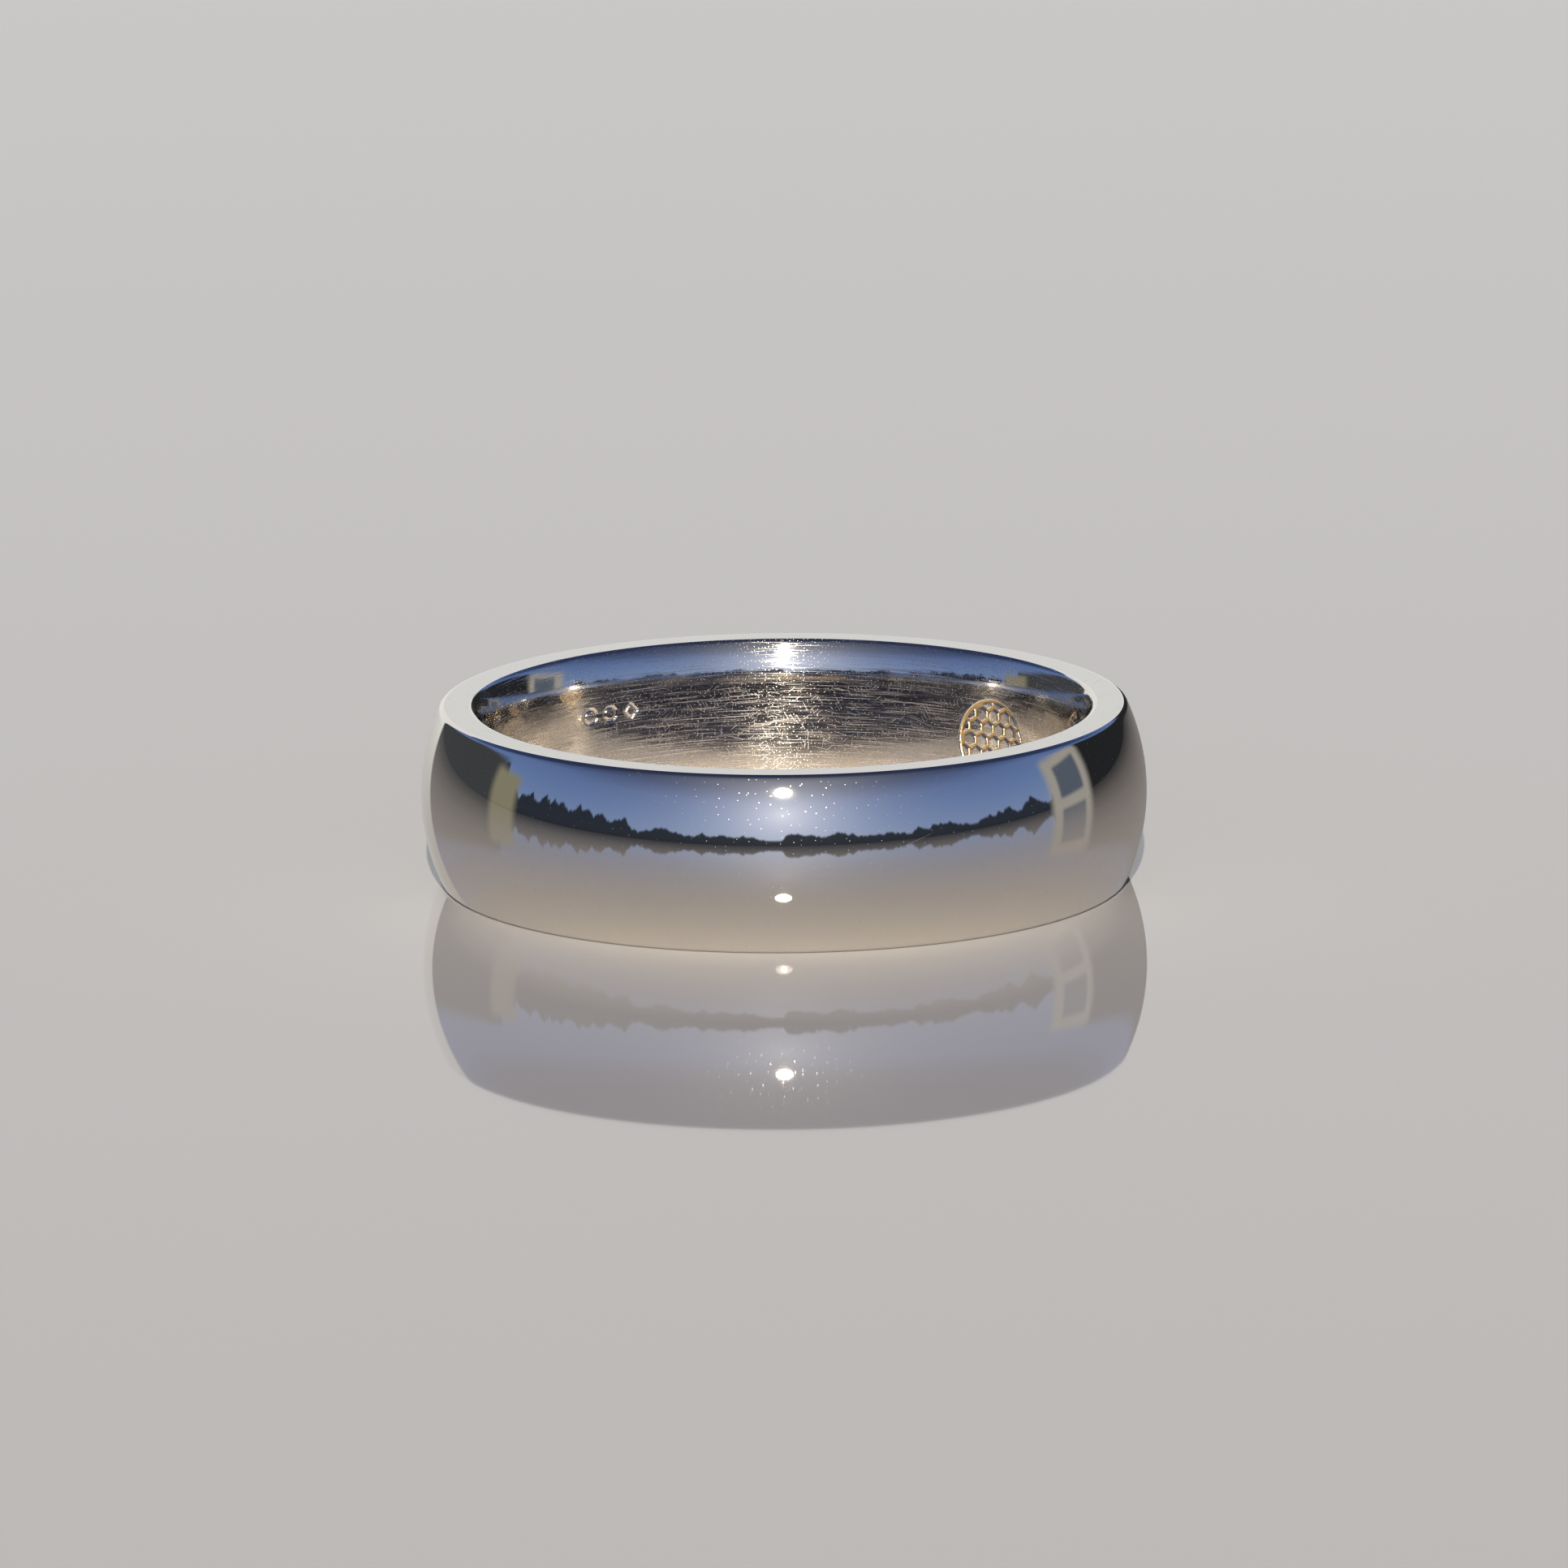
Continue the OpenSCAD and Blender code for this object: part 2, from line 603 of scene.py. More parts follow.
@dataclass(frozen=True)
class PunchMark(Mark):
    """A struck outline round a plain raised centre.

    Attributes:
        size: The outline's width.
        gilt: How far it has the gold tone; it is struck, so only a little.
        outline: Its shape.
    """

    size: float = 0.6 * MM
    gilt: float = 0.15
    outline: Punch = Punch.ROUND

    def inside(self, u: np.ndarray, v: np.ndarray) -> np.ndarray:
        """The band between two like outlines, from the greatest projection on their normals.

        Args:
            u: Distance along the wall from the mark's centre.
            v: Height from the mark's centre.

        Returns:
            Distance into the line.
        """
        sides = self.outline.value
        if sides:
            turn = np.pi / sides if self.outline is Punch.LOZENGE else 0.0
            angles = 2.0 * np.pi * np.arange(sides) / sides + turn
            reach = np.max([u * np.cos(a) + v * np.sin(a) for a in angles], axis=0)
            reach = reach / math.cos(np.pi / sides)
        else:
            reach = np.hypot(u, v)
        return self.line_w / 2.0 - abs(reach - (self.size - self.line_w) / 2.0)


@dataclass
class BandSkin:
    """The band's whole surface as one closed mesh, finer where marks are cut.

    Attributes:
        section: The cross-section that is carried round the axis.
        marks: What is cut into the bore.
        columns: Steps round the axis.
        fine_round: Steps that each column is split into under a mark.
        fine_high: Steps that each row is split into under a mark.
        cut_depth: Depth of the engraving.
        wall_w: Width over which a line's wall goes down.
        GILT: Name of the attribute that holds how gold-toned each point is.
        UNROLLED: Name of the map that holds each point's place on the skin unrolled flat.
        ROUND: The way round that the map's whole width stands for, in metres.
        GIRTH: The way across the skin that its whole height stands for.
    """

    section: CourtSection
    marks: list[Mark]
    columns: int = 432
    fine_round: int = 7
    fine_high: int = 4
    cut_depth: float = 0.06 * MM
    wall_w: float = 0.02 * MM
    GILT = "gilt"
    UNROLLED = "unrolled"
    ROUND = 2.0 * math.pi * 11.0 * MM
    GIRTH = 15.5 * MM

    def depth(self, angle: np.ndarray, z: np.ndarray) -> tuple[np.ndarray, np.ndarray]:
        """Depth of the engraving at each point of the bore, and how gold-toned it is.

        Args:
            angle: Angle round the axis, in radians.
            z: Height.

        Returns:
            Two shares: 0 on the plain bore, and 1 on the floor of a line or on full gold tone.
        """
        share = np.zeros(angle.shape)
        gilt = np.zeros(angle.shape)
        for mark in self.marks:
            turn = (angle - math.radians(mark.angle_deg) + np.pi) % (2.0 * np.pi) - np.pi
            u, v = turn * self.section.bore_r, z - mark.height
            near = np.maximum(abs(u), abs(v)) < mark.half
            cut = ease(mark.inside(u, v) / self.wall_w + 0.5)
            cut = np.where(near, cut, 0.0)
            share = np.maximum(share, cut)
            gilt = np.maximum(gilt, cut * mark.gilt)
        return share, gilt

    def place(self, angle: np.ndarray, r: np.ndarray, z: np.ndarray) -> np.ndarray:
        """Points of the surface of revolution: (r cos a, r sin a, z)."""
        return np.stack([r * np.cos(angle), r * np.sin(angle), z], axis=-1)

    def patches(self, rows: np.ndarray) -> list[tuple[int, int, int, int]]:
        """The block of coarse cells that each mark, or run of marks, lies in.

        Args:
            rows: The section's rows.

        Returns:
            First column, last column, first row and last row of each block.
        """
        step = 2.0 * np.pi / self.columns
        bore = np.flatnonzero(np.isclose(rows[:, 0], self.section.bore_r, atol=1e-9))
        heights = rows[bore, 1]
        blocks: list[list[int]] = []
        for mark in sorted(self.marks, key=lambda m: m.angle_deg):
            reach = mark.half / self.section.bore_r
            middle = math.radians(mark.angle_deg)
            first = math.floor((middle - reach) / step)
            last = math.ceil((middle + reach) / step)
            # A hair less than half, so that a row right at the mark's edge counts.
            half = mark.half * 0.999
            top = bore[np.flatnonzero(heights >= mark.height + half)[-1]]
            low = bore[np.flatnonzero(heights <= mark.height - half)[0]]
            if blocks and first <= blocks[-1][1] + 1:
                blocks[-1][1] = max(blocks[-1][1], last)
                blocks[-1][2] = min(blocks[-1][2], int(top))
                blocks[-1][3] = max(blocks[-1][3], int(low))
            else:
                blocks.append([first, last, int(top), int(low)])
        return [tuple(b) for b in blocks]

    def build(self) -> bpy.types.Object:
        """Makes the mesh: coarse quads, fine blocks, and wider faces that join the two.

        Returns:
            The band.
        """
        rows, zones = self.section.loop()
        n, m = self.columns, len(rows)
        angles = 2.0 * np.pi * np.arange(n) / n
        steps = np.linalg.norm(np.diff(rows, axis=0, append=rows[:1]), axis=1)
        along = np.concatenate([[0.0], np.cumsum(steps)[:-1]]) / steps.sum()
        a, r = np.meshgrid(angles, rows[:, 0], indexing="ij")
        z, across = np.broadcast_to(rows[:, 1], a.shape), np.broadcast_to(along, a.shape)
        points = [self.place(a, r, z).reshape(-1, 3)]
        gold = [np.zeros(n * m)]
        unrolled = [np.stack([a / (2.0 * np.pi), across], axis=-1).reshape(-1, 2)]
        faces: list[list[int]] = []
        slots: list[np.ndarray] = []
        plain = np.ones((n, m), bool)
        count = n * m

        def coarse(i: np.ndarray, j: np.ndarray) -> np.ndarray:
            """Numbers of the coarse grid's points in column i and row j, counted on round it."""
            return (np.asarray(i) % n) * m + np.asarray(j) % m

        def keep(polygons: np.ndarray, zone: np.ndarray | int) -> None:
            """Adds faces and the zone they are in."""
            faces.extend(polygons.tolist())
            slots.append(np.broadcast_to(zone, len(polygons)))

        for i0, i1, j0, j1 in self.patches(rows):
            fa, fb = self.fine_round, self.fine_high
            ni, nj = i1 - i0, j1 - j0
            angle = 2.0 * np.pi * (i0 + np.arange(ni * fa + 1) / fa) / n
            z = rows[j0, 1] + (rows[j1, 1] - rows[j0, 1]) * np.arange(nj * fb + 1) / (nj * fb)
            ga, gz = np.meshgrid(angle, z, indexing="ij")
            share, gilt = self.depth(ga, gz)
            share[[0, -1], :] = 0.0
            share[:, [0, -1]] = 0.0
            fine = self.place(ga, self.section.bore_r + self.cut_depth * share, gz)
            index = count + np.arange(ga.size).reshape(ga.shape)
            points.append(fine.reshape(-1, 3))
            gold.append(gilt.ravel())
            across = np.interp(gz, rows[[j1, j0], 1], along[[j1, j0]])
            unrolled.append(np.stack([ga / (2.0 * np.pi), across], axis=-1).reshape(-1, 2))
            count += ga.size
            # The block's corners and coarse border points are the grid's own.
            ci, cj = np.arange(ni + 1), np.arange(nj + 1)
            index[::fa, 0], index[::fa, -1] = coarse(i0 + ci, j0), coarse(i0 + ci, j1)
            index[0, ::fb], index[-1, ::fb] = coarse(i0, j0 + cj), coarse(i1, j0 + cj)
            quads = [index[:-1, :-1], index[1:, :-1], index[1:, 1:], index[:-1, 1:]]
            keep(np.stack(quads, axis=-1).reshape(-1, 4), Zone.BORE)
            # The coarse cells under the block and beside it go; those at its corners stay.
            plain[np.ix_(np.arange(i0 - 1, i1 + 1) % n, np.arange(j0 - 1, j1 + 1))] = False
            plain[np.ix_([(i0 - 1) % n, i1 % n], [j0 - 1, j1])] = True
            # One wide face beside each coarse step of the border takes all its fine points.
            i, j = i0 + np.arange(ni), j0 + np.arange(nj)
            wide = (np.arange(ni) * fa)[:, None] + np.arange(fa + 1)
            high = (np.arange(nj) * fb)[:, None] + np.arange(fb + 1)
            borders = (
                [coarse(i, j0 - 1), coarse(i + 1, j0 - 1), index[wide, 0][:, ::-1]],
                [index[wide, -1], coarse(i + 1, j1 + 1), coarse(i, j1 + 1)],
                [coarse(i0 - 1, j), index[0, high], coarse(i0 - 1, j + 1)],
                [index[-1, high][:, ::-1], coarse(i1 + 1, j), coarse(i1 + 1, j + 1)],
            )
            for border in borders:
                keep(np.column_stack(border), Zone.BORE)

        i, j = np.nonzero(plain)
        quads = [coarse(i, j), coarse(i + 1, j), coarse(i + 1, j + 1), coarse(i, j + 1)]
        keep(np.stack(quads, axis=-1), zones[j])
        arrays = (np.concatenate(part) for part in (points, slots, gold, unrolled))
        return self.to_object(faces, *arrays)

    def to_object(
        self,
        faces: list[list[int]],
        points: np.ndarray,
        slots: np.ndarray,
        gold: np.ndarray,
        unrolled: np.ndarray,
    ) -> bpy.types.Object:
        """Puts the arrays into a mesh, without the points that no face uses.

        A face that crosses the unrolled map's end has its low corners moved up by the whole
        width or height, so that it doesn't run back across the map.

        Args:
            faces: Each face's point numbers.
            points: All points.
            slots: Each face's zone.
            gold: How gold-toned each point is, from 0 to 1.
            unrolled: Each point's place on the unrolled skin, from 0 to 1 each way.

        Returns:
            The object, smooth shaded.
        """
        sizes = np.array([len(f) for f in faces])
        flat = np.concatenate([np.asarray(f) for f in faces])
        used, renumbered = np.unique(flat, return_inverse=True)
        ends = np.cumsum(sizes)
        tidy = [part.tolist() for part in np.split(renumbered, ends[:-1])]
        mesh = bpy.data.meshes.new("band_skin")
        mesh.from_pydata(points[used].tolist(), [], tidy)
        mesh.polygons.foreach_set("material_index", slots.astype(np.int32))
        mesh.polygons.foreach_set("use_smooth", np.ones(len(faces), bool))
        layer = mesh.attributes.new(self.GILT, "FLOAT", "POINT")
        layer.data.foreach_set("value", gold[used].astype(np.float32))
        corners = unrolled[flat]
        highest = np.repeat(np.maximum.reduceat(corners, ends - sizes, axis=0), sizes, axis=0)
        corners = corners + (highest - corners > 0.5)
        uv = mesh.uv_layers.new(name=self.UNROLLED)
        uv.data.foreach_set("uv", corners.astype(np.float32).ravel())
        mesh.validate()
        mesh.update()
        return add_object("band_skin", mesh)


@dataclass
class WeddingBand:
    """The ring itself: one piece of white gold with its marks.

    Attributes:
        record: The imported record, which holds the bore's mount.
        crown_r: Radius over the crown.
        lattice_angle: The lattice mark's angle round the axis, in degrees from +X.
        punch_angle: The middle punch mark's angle.
        punch_step: Angle between two punch marks.
        punch_height: Height of the row of punch marks.
        lattice_half: Half the side of the square that holds the lattice mark.
        punch_half: Half the side of the square that holds a punch mark.
        skin: The band's mesh object, once it is built.
    """

    record: dict[str, Any]
    crown_r: float = 12.21 * MM
    lattice_angle: float = 44.6
    punch_angle: float = 126.0
    punch_step: float = 4.8
    punch_height: float = 3.9 * MM
    lattice_half: float = 1.53 * MM
    punch_half: float = 0.36 * MM
    skin: bpy.types.Object | None = field(default=None, init=False)

    def section(self) -> CourtSection:
        """Takes the cross-section's main sizes from the frame.

        Returns:
            The cross-section.
        """
        low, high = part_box("band")
        bore = next(m for m in self.record["mounts"] if m["name"] == "finger_bore")
        return CourtSection(high[2] - low[2], self.crown_r, bore["dims"]["r_mm"] * MM)

    def marks(self, section: CourtSection) -> list[Mark]:
        """Places the round lattice mark and the row of three punch marks.

        Args:
            section: The band's cross-section.

        Returns:
            The marks.
        """
        lattice = LatticeMark(self.lattice_angle, section.width / 2.0, self.lattice_half)
        found: list[Mark] = [lattice]
        for k, outline in enumerate((Punch.ROUND, Punch.EIGHT_SIDED, Punch.LOZENGE)):
            angle = self.punch_angle + (1 - k) * self.punch_step
            found.append(PunchMark(angle, self.punch_height, self.punch_half, outline=outline))
        return found

    def build(self) -> None:
        """Makes the skin and lets it stand for the plain band."""
        section = self.section()
        self.skin = BandSkin(section, self.marks(section)).build()
        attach(self.skin, "root")
        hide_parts("band")

    def dress(self) -> None:
        """Gives the dome, the rims and the bore their finishes."""
        assert self.skin is not None
        # Turned, then buffed to a mirror and worn a little: a few specks and faint hairlines.
        # Real hairlines are a few micrometres wide; these are drawn wider, to show.
        dome = WhiteGoldFinish(
            "white_gold_mirror_polish",
            roughness=0.018,
            haze=0.015,
            worn_roughness=0.36,
            relief_um=0.05,
            wear=(
                Wear(0.33, 0.05, 0.05),
                Wear(0.5, 0.016, 2.2, 22.0),
                Wear(0.6, 0.016, 1.6, -48.0),
            ),
        )
        # Lapped flat on a plate, so it is even, and duller than the dome.
        rim = WhiteGoldFinish(
            "white_gold_lapped_rim",
            colour="#CAC7C3",
            roughness=0.09,
            haze=0.06,
            worn_roughness=0.4,
            relief_um=0.1,
            wear=(Wear(0.5, 0.05, 0.07), Wear(0.3, 0.02, 1.4, 25.0), Wear(0.3, 0.02, 1.2, -40.0)),
        )
        # Turned and polished inside, then rubbed by the finger: a mirror under a web of short
        # scratches. The turning marks left in it spread light along the axis.
        bore = BoreFinish(
            "white_gold_worn_bore",
            roughness=0.03,
            haze=0.03,
            worn_roughness=0.5,
            relief_um=0.25,
            turned_um=0.5,
            anisotropy=0.92,
            wear=(
                Wear(0.13, 0.055, 0.055),
                Wear(0.3, 0.016, 1.2, 3.0),
                Wear(0.4, 0.016, 0.8, -35.0),
            ),
            rubbed=(
                Wear(0.05, 0.016, 1.6, 2.0),
                Wear(0.07, 0.016, 0.8, -12.0),
                Wear(0.08, 0.016, 0.5, 38.0),
                Wear(0.08, 0.016, 0.45, -60.0),
                Wear(0.09, 0.016, 0.45, 84.0),
            ),
        )
        by_zone = {Zone.DOME: dome, Zone.RIM: rim, Zone.BORE: bore}
        for zone in sorted(by_zone):
            self.skin.data.materials.append(by_zone[zone].material())


# ---------------------------------------------------------------- the studio


@dataclass
class GlossTable:
    """The pale table top: a smooth sheet of gloss acrylic, cast and polished.

    Attributes:
        half: Half its side.
        colour: The sheet's own colour under its gloss.
        roughness: Roughness of its gloss.
    """

    half: float = 3.0
    colour: str = "#B4B2B0"
    roughness: float = 0.03

    def build(self) -> None:
        """Makes the flat sheet at height 0."""
        corner = self.half * np.array([[-1, -1, 0], [1, -1, 0], [1, 1, 0], [-1, 1, 0]])
        mesh = bpy.data.meshes.new("table_top")
        mesh.from_pydata(corner.tolist(), [], [[0, 1, 2, 3]])
        mesh.update()
        sheet = add_object("table_top", mesh)
        mat = bpy.data.materials.new("pale_gloss_acrylic")
        tree = bare_tree(mat)
        gloss = {"Base Color": linear(self.colour), "Roughness": self.roughness, "IOR": 1.5}
        add_node(tree, "OutputMaterial", {"Surface": add_node(tree, "BsdfPrincipled", gloss)})
        mesh.materials.append(mat)


@dataclass(frozen=True)
class Screen:
    """A soft-edged screen of light or shade round the set, seen from the ring.

    Attributes:
        azimuth: Its middle, in degrees from the camera's side, positive to the right.
        half_width: Half its width, in degrees.
        low: Its lower edge's elevation.
        high: Its upper edge's elevation.
        colour: Its colour.
        soft: How many degrees its edges fade over.
    """

    azimuth: float
    half_width: float
    low: float
    high: float
    colour: str
    soft: float = 2.0


@dataclass
class SoftStudio:
    """Light from all round: a cool overhead wash, low dark screens and a white backdrop.

    Attributes:
        wash: Elevation in degrees to the wash's colour there.
        screens: The screens, from the farthest to the nearest.
        skirt_top: Least and greatest elevation of the dark drape's top.
        skirt_folds: Noise levels that give the least and the greatest elevation.
        skirt_run: Degrees of azimuth between two large folds of the top.
        skirt_left: Azimuths between which the drape rises towards the left.
        skirt_left_rise: How many times as high it is past them.
        skirt_soft: Half the width in degrees over which its top fades.
        skirt_colour: The drape's colour.
        skirt_cover: How much of what is behind it the drape hides.
        glow: Brightness of the middle of the key lamp's glow.
        glow_elevation: The middle's elevation in degrees.
        glow_reach: Degrees over which the glow falls to 1 / e.
        glow_colour: The glow's colour.
    """

    wash: tuple[tuple[float, str], ...] = (
        (-90.0, "#55565A"),
        (-2.0, "#5A5B60"),
        (2.0, "#8398C4"),
        (8.0, "#7790C2"),
        (16.0, "#6985BC"),
        (23.0, "#6079B0"),
        (27.0, "#4F669A"),
        (31.0, "#3D517E"),
        (40.0, "#2F3C60"),
        (90.0, "#262F4C"),
    )
    screens: tuple[Screen, ...] = (
        Screen(146.0, 34.0, -3.0, 18.0, "#26282C"),
        Screen(-128.0, 24.0, -3.0, 16.0, "#43464A"),
        Screen(104.0, 10.0, -2.0, 18.0, "#A9A7A3"),
        Screen(104.5, 6.0, 2.0, 14.0, "#5A6576", 1.0),
        Screen(-101.0, 6.0, -1.0, 13.0, "#8E8C78"),
        Screen(191.2, 16.8, -5.0, 27.0, "#F2F3F2", 1.0),
    )
    skirt_top: tuple[float, float] = (2.8, 8.0)
    skirt_folds: tuple[float, float] = (0.38, 0.72)
    skirt_run: float = 1.0 / 0.09
    skirt_left: tuple[float, float] = (-42.0, -66.0)
    skirt_left_rise: float = 2.0
    skirt_soft: float = 0.8
    skirt_colour: str = "#262A31"
    skirt_cover: float = 0.96
    glow: float = 0.8
    glow_elevation: float = 17.0
    glow_reach: float = 17.0
    glow_colour: str = "#FFFDF8"

    def build(self) -> None:
        """Builds the surrounding light as one world shader."""
        world = bpy.data.worlds.new("soft_studio")
        bpy.context.scene.world = world
        tree = bare_tree(world)
        way = add_node(tree, "TexCoord").outputs["Generated"]
        x, y, sine = add_node(tree, "SeparateXYZ", {0: way}).outputs
        rise = add_node(tree, "Math", {0: sine}, operation="ARCSINE")
        elevation = add_node(tree, "Math", {0: rise}, operation="DEGREES")
        back = add_node(tree, "Math", {0: y, 1: -1.0}, operation="MULTIPLY")
        turn = add_node(tree, "Math", {0: x, 1: back}, operation="ARCTAN2")
        azimuth = add_node(tree, "Math", {0: turn}, operation="DEGREES")
        level = add_node(tree, "MapRange", {"Value": elevation, "From Min": -90.0, "From Max": 90.0})
        ramp = add_node(tree, "ValToRGB", {"Fac": level})
        stops = ramp.color_ramp.elements
        while len(stops) > 1:
            stops.remove(stops[-1])
        for k, (angle, colour) in enumerate(self.wash):
            stop = stops[0] if k == 0 else stops.new((angle + 90.0) / 180.0)
            stop.position = (angle + 90.0) / 180.0
            stop.color = linear(colour)
        light = self.halo(tree, way, ramp.outputs["Color"])
        light = self.skirt(tree, azimuth, elevation, light)
        for screen in self.screens:
            light = self.hang(tree, screen, azimuth, elevation, light)
        shade = add_node(tree, "Background", {"Color": light, "Strength": 1.0})
        add_node(tree, "OutputWorld", {"Surface": shade})

    def halo(self, tree: Tree, way: Socket, behind: Socket) -> Socket:
        """Adds the glow that the key lamp makes on the wash round it and below it.

        The glow is glow * e^(-a / glow_reach), where a is the angle from its middle.

        Args:
            tree: The world's tree.
            way: The direction.
            behind: The wash's colour.

        Returns:
            The colour with the glow.
        """
        lamp = direction(KeyLight.azimuth, self.glow_elevation)
        dot = add_node(tree, "VectorMath", {0: way, 1: lamp}, operation="DOT_PRODUCT")
        angle = add_node(tree, "Math", {0: dot.outputs["Value"]}, operation="ARCCOSINE")
        fall = -1.0 / math.radians(self.glow_reach)
        reach = add_node(tree, "Math", {0: angle, 1: fall}, operation="MULTIPLY")
        fade = add_node(tree, "Math", {0: reach}, operation="EXPONENT")
        share = add_node(tree, "Math", {0: fade, 1: self.glow}, operation="MULTIPLY")
        colours = {0: share, 6: behind, 7: linear(self.glow_colour)}
        return add_node(tree, "Mix", colours, data_type="RGBA", blend_type="ADD").outputs[2]

    def skirt(self, tree: Tree, azimuth: Node, elevation: Node, behind: Socket) -> Socket:
        """Lays a low dark drape with an uneven top round the set, higher to the left.

        The top's elevation is a noise of the azimuth, within skirt_top's two elevations.

        Args:
            tree: The world's tree.
            azimuth: Direction round the set, in degrees.
            elevation: Direction's elevation, in degrees.
            behind: The colour behind.

        Returns:
            The colour with the drape.
        """
        run = add_node(tree, "Math", {0: azimuth, 1: 1.0 / self.skirt_run}, operation="MULTIPLY")
        folds = add_node(
            tree,
            "TexNoise",
            {"W": run, "Scale": 1.0, "Detail": 4.0, "Roughness": 0.55},
            noise_dimensions="1D",
        )
        (low, high), (least, most) = self.skirt_folds, self.skirt_top
        rise = add_node(
            tree,
            "MapRange",
            {"Value": folds, "From Min": low, "From Max": high, "To Min": least, "To Max": most},
        )
        (start, end), times = self.skirt_left, self.skirt_left_rise
        left = add_node(
            tree,
            "MapRange",
            {"Value": azimuth, "From Min": start, "From Max": end, "To Min": 1.0, "To Max": times},
            interpolation_type="SMOOTHSTEP",
        )
        top = add_node(tree, "Math", {0: rise, 1: left}, operation="MULTIPLY")
        over = add_node(tree, "Math", {0: elevation, 1: top}, operation="SUBTRACT")
        soft, cover = self.skirt_soft, self.skirt_cover
        share = add_node(
            tree,
            "MapRange",
            {"Value": over, "From Min": soft, "From Max": -soft, "To Max": cover},
            interpolation_type="SMOOTHSTEP",
        )
        colours = {0: share, 6: behind, 7: linear(self.skirt_colour)}
        return add_node(tree, "Mix", colours, data_type="RGBA").outputs[2]

    def hang(
        self, tree: Tree, screen: Screen, azimuth: Node, elevation: Node, behind: Socket
    ) -> Socket:
        """Lays one screen over what is behind it, with faded edges.

        Args:
            tree: The world's tree.
            screen: The screen.
            azimuth: Direction round the set, in degrees.
            elevation: Direction's elevation, in degrees.
            behind: The colour behind.

        Returns:
            The colour with the screen.
        """
        away = add_node(tree, "Math", {0: azimuth, 1: screen.azimuth}, operation="SUBTRACT")
        wrapped = add_node(tree, "Math", {0: away, 1: 180.0, 2: -180.0}, operation="WRAP")
        aside = add_node(tree, "Math", {0: wrapped}, operation="ABSOLUTE")
        soft = screen.soft
        limits = (
            (aside, screen.half_width + soft, screen.half_width - soft),
            (elevation, screen.low - soft, screen.low + soft),
            (elevation, screen.high + soft, screen.high - soft),
        )
        share: Node | None = None
        for value, outside, inside in limits:
            side = add_node(
                tree,
                "MapRange",
                {"Value": value, "From Min": outside, "From Max": inside},
                interpolation_type="SMOOTHSTEP",
            )
            if share is None:
                share = side
            else:
                share = add_node(tree, "Math", {0: share, 1: side}, operation="MULTIPLY")
        colours = {0: share, 6: behind, 7: linear(screen.colour)}
        return add_node(tree, "Mix", colours, data_type="RGBA").outputs[2]


@dataclass
class KeyLight:
    """A round lamp far off behind the camera, a little warm.

    Attributes:
        name: The lamp's name.
        strength: Light that falls on a face turned to it, in W per square metre.
        spread: The lamp's width as the ring sees it, in degrees.
        azimuth: Degrees from the camera's side.
        elevation: Degrees above the table.
        colour: Its colour.
    """

    name: str
    strength: float
    spread: float
    azimuth: float = -0.5
    elevation: float = 29.2
    colour: str = "#FFF4E4"

    def build(self) -> None:
        """Adds the light, aimed at the origin."""
        lamp = bpy.data.lights.new(self.name, "SUN")
        lamp.energy = self.strength
        lamp.angle = math.radians(self.spread)
        lamp.color = linear(self.colour)[:3]
        key = add_object(self.name, lamp)
        towards = direction(self.azimuth, self.elevation)
        key.rotation_mode = "QUATERNION"
        key.rotation_quaternion = (-towards).to_track_quat("-Z", "Y")


@dataclass
class TablePool:
    """A round pool of warm light on the table, inside the ring, that fades to its edge.

    It stands for light that the bore throws there. Its lamp hangs over the table and is
    hidden from the metal, so it makes no highlights.

    Attributes:
        name: The lamp's name.
        power: The lamp's power, in W.
        radius: Radius of the pool.
        centre: X and Y of the pool's middle.
        height: Height of the lamp over the table.
        size: Radius of the lamp itself, far smaller than the pool.
        colour: Its colour.
    """

    name: str
    power: float
    radius: float
    centre: tuple[float, float] = (0.0, 5.2 * MM)
    height: float = 100.0 * MM
    size: float = 0.1 * MM
    colour: str = "#FFE9CF"

    def build(self) -> None:
        """Adds the lamp, pointing straight down."""
        lamp = bpy.data.lights.new(self.name, "SPOT")
        lamp.energy = self.power
        lamp.spot_size = 2.0 * math.atan(self.radius / self.height)
        lamp.spot_blend = 1.0
        lamp.shadow_soft_size = self.size
        lamp.color = linear(self.colour)[:3]
        pool = add_object(self.name, lamp)
        pool.location = (*self.centre, self.height)
        pool.visible_glossy = False


@dataclass
class BoreCaustic:
    """The cusped curve of light that a round bore throws on the table inside it.

    Light from the front comes off the back of the bore and gathers along a curve, whose
    cusp lies halfway out to the bore. A row of small pools draws the curve.

    Attributes:
        bore_r: Radius of the bore.
        power: What a pool's power is a share of, in W.
        radius: Radius of each pool.
        reach: How far round from the back of the bore the light comes, in degrees.
        step: Angle round the bore between two pools, in degrees.
        crowd_min: Share of its power that the pool in the cusp itself keeps.
        crowd_fall: How fast the share rises away from the cusp.
    """

    bore_r: float
    power: float = 0.42
    radius: float = 1.15 * MM
    reach: float = 64.0
    step: float = 4.0
    crowd_min: float = 0.1
    crowd_fall: float = 0.7

    def build(self) -> None:
        """Adds the pools, weaker at the curve's ends and by its cusp, where they crowd.

        Light off the bore at angle a from its back gathers at x = R sin^3 a and
        y = R cos a (3/2 - cos^2 a). Its pool's power is a share cos^2 a (crowd_min +
        |sin a|^crowd_fall) of power.
        """
        for degrees in np.arange(-self.reach, self.reach + self.step / 2.0, self.step):
            out, back = math.sin(math.radians(degrees)), math.cos(math.radians(degrees))
            centre = (self.bore_r * out**3, self.bore_r * back * (1.5 - back**2))
            share = back**2 * (self.crowd_min + abs(out) ** self.crowd_fall)
            name = f"caustic_{degrees:+.0f}"
            TablePool(name, self.power * share, self.radius, centre=centre).build()


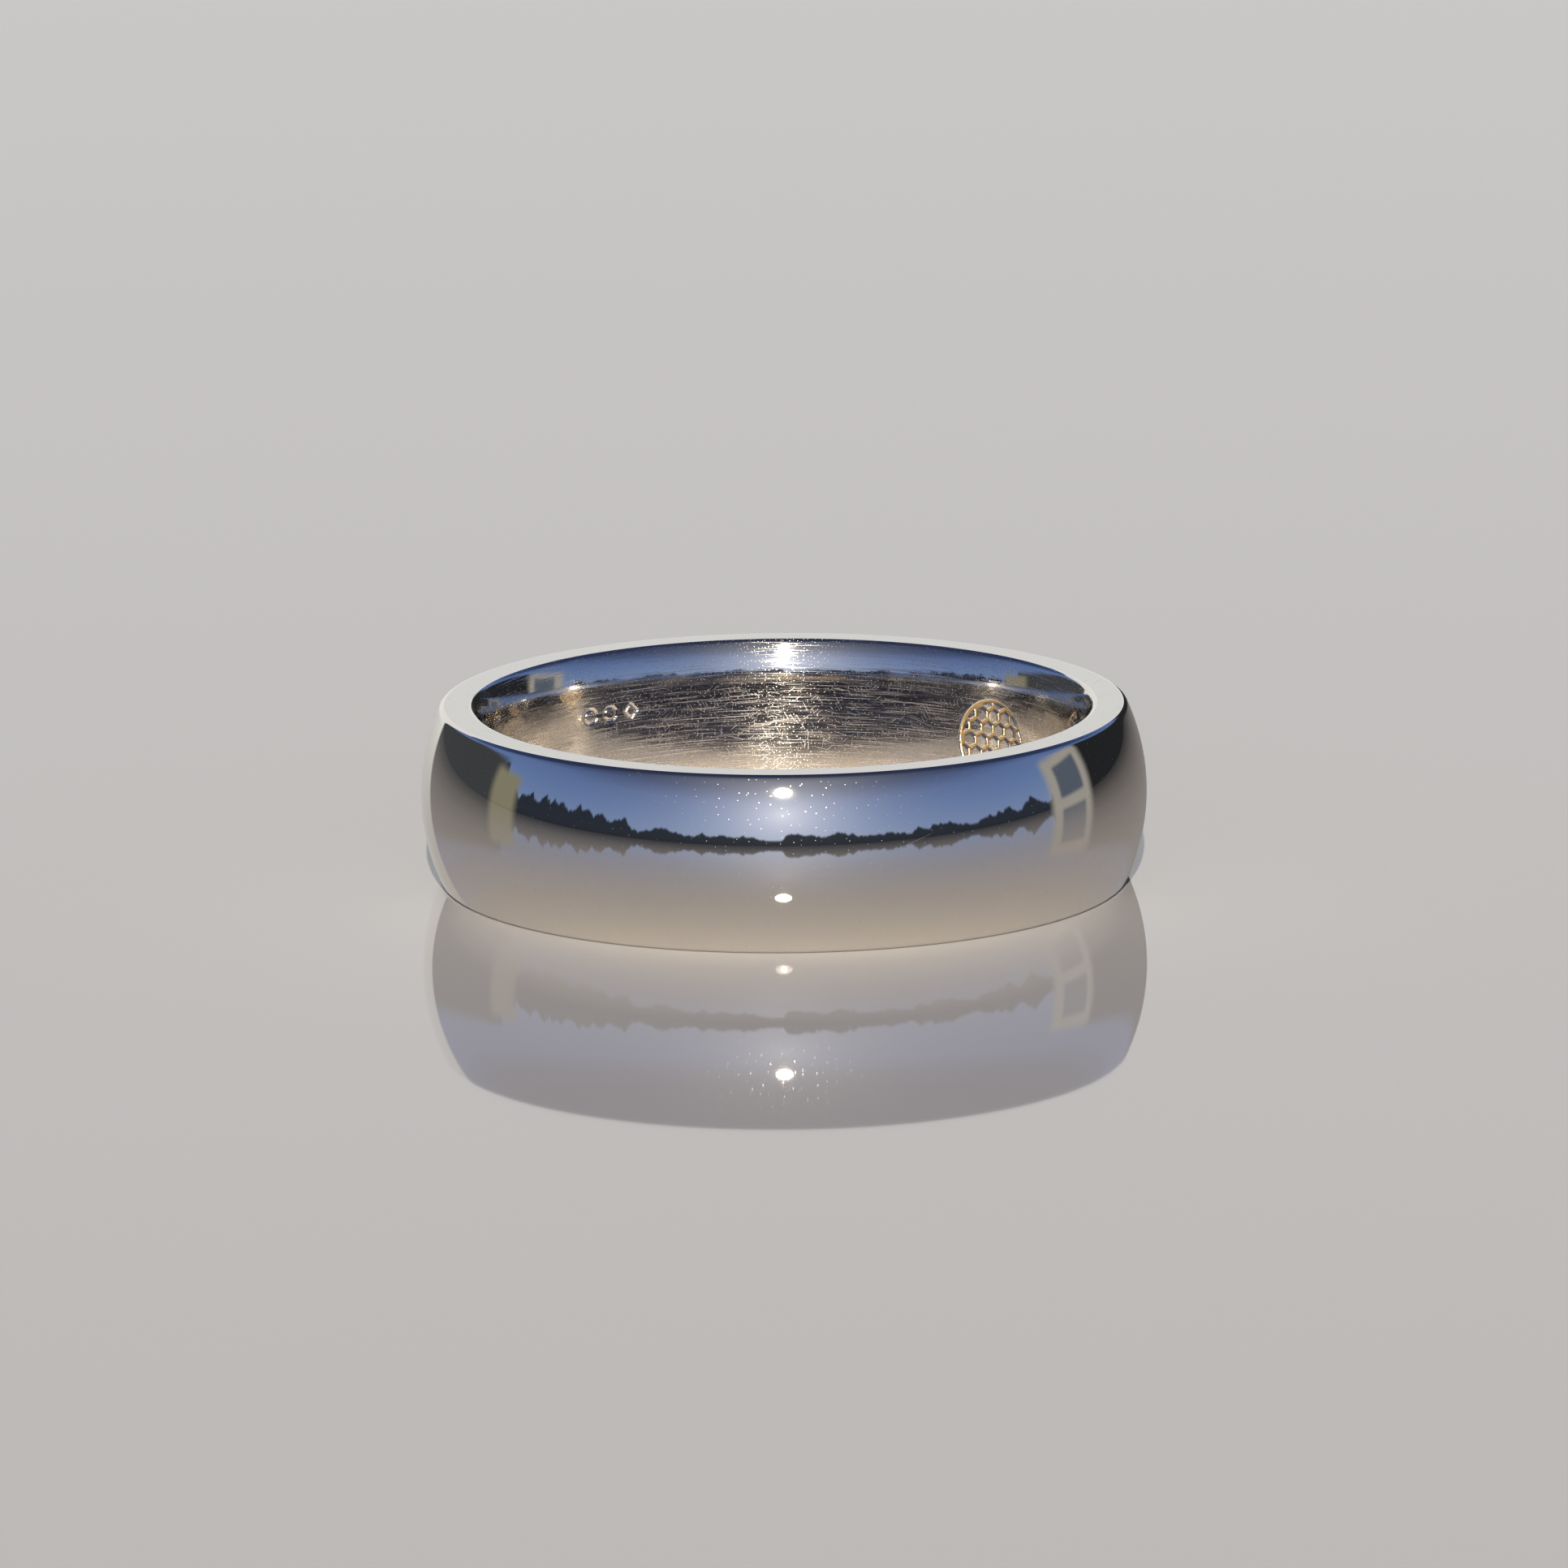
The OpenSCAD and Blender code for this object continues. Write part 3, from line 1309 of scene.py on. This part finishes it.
@dataclass
class StudioCamera:
    """A long lens looking a little down on the ring from its front.

    Attributes:
        position: Where it stands, in metres.
        dip: How far it looks down, in radians.
        turn: How far it is turned to the left, in radians.
        roll: How far its frame leans, in radians.
        lens: Focal length in mm.
        sensor: Width of the frame in mm.
    """

    position: tuple[float, float, float] = (-0.7176 * MM, -480.0 * MM, 108.21 * MM)
    dip: float = 0.2154
    turn: float = 0.0015
    roll: float = 0.0071
    lens: float = 335.3
    sensor: float = 36.0

    def build(self) -> None:
        """Adds the camera and makes it the scene's own."""
        data = bpy.data.cameras.new("camera")
        data.lens, data.sensor_width = self.lens, self.sensor
        data.clip_start, data.clip_end = 0.01, 20.0
        side = Vector((math.cos(self.turn), -math.sin(self.turn), 0.0))
        level = Vector((math.sin(self.turn), math.cos(self.turn), 0.0))
        up = level * math.sin(self.dip) + Vector((0.0, 0.0, math.cos(self.dip)))
        ahead = level * math.cos(self.dip) - Vector((0.0, 0.0, math.sin(self.dip)))
        right = side * math.cos(self.roll) - up * math.sin(self.roll)
        top = side * math.sin(self.roll) + up * math.cos(self.roll)
        camera = add_object("camera", data)
        axes = Matrix((right, top, -ahead)).transposed().to_4x4()
        camera.matrix_world = Matrix.Translation(self.position) @ axes
        bpy.context.scene.camera = camera


def main() -> None:
    """Builds the ring, the table, the light and the camera, in order."""
    logging.basicConfig(level=logging.INFO, format="%(name)s: %(message)s")
    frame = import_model()
    bpy.context.scene.view_settings.view_transform = "Standard"

    StudioCamera().build()
    LOG.info("camera placed")
    band = WeddingBand(frame["record"])
    band.build()
    band.dress()
    LOG.info("band: %d faces", len(band.skin.data.polygons))
    # The key is a small bright lamp in a faint wider glow.
    lights = KeyLight("key_lamp", 4.6, 0.8), KeyLight("key_glow", 0.1, 5.0)
    # The bore throws a cusped curve of light, a tongue in front of its cusp and a wide glow.
    pools = (
        BoreCaustic(band.section().bore_r),
        TablePool("pool_tongue", 0.4, 2.9 * MM, centre=(0.0, 3.3 * MM)),
        TablePool("pool_glow", 0.28, 8.0 * MM),
    )
    for part in (GlossTable(), SoftStudio(), *lights, *pools):
        part.build()
        LOG.info("%s built", type(part).__name__)


if __name__ == "__main__":
    main()
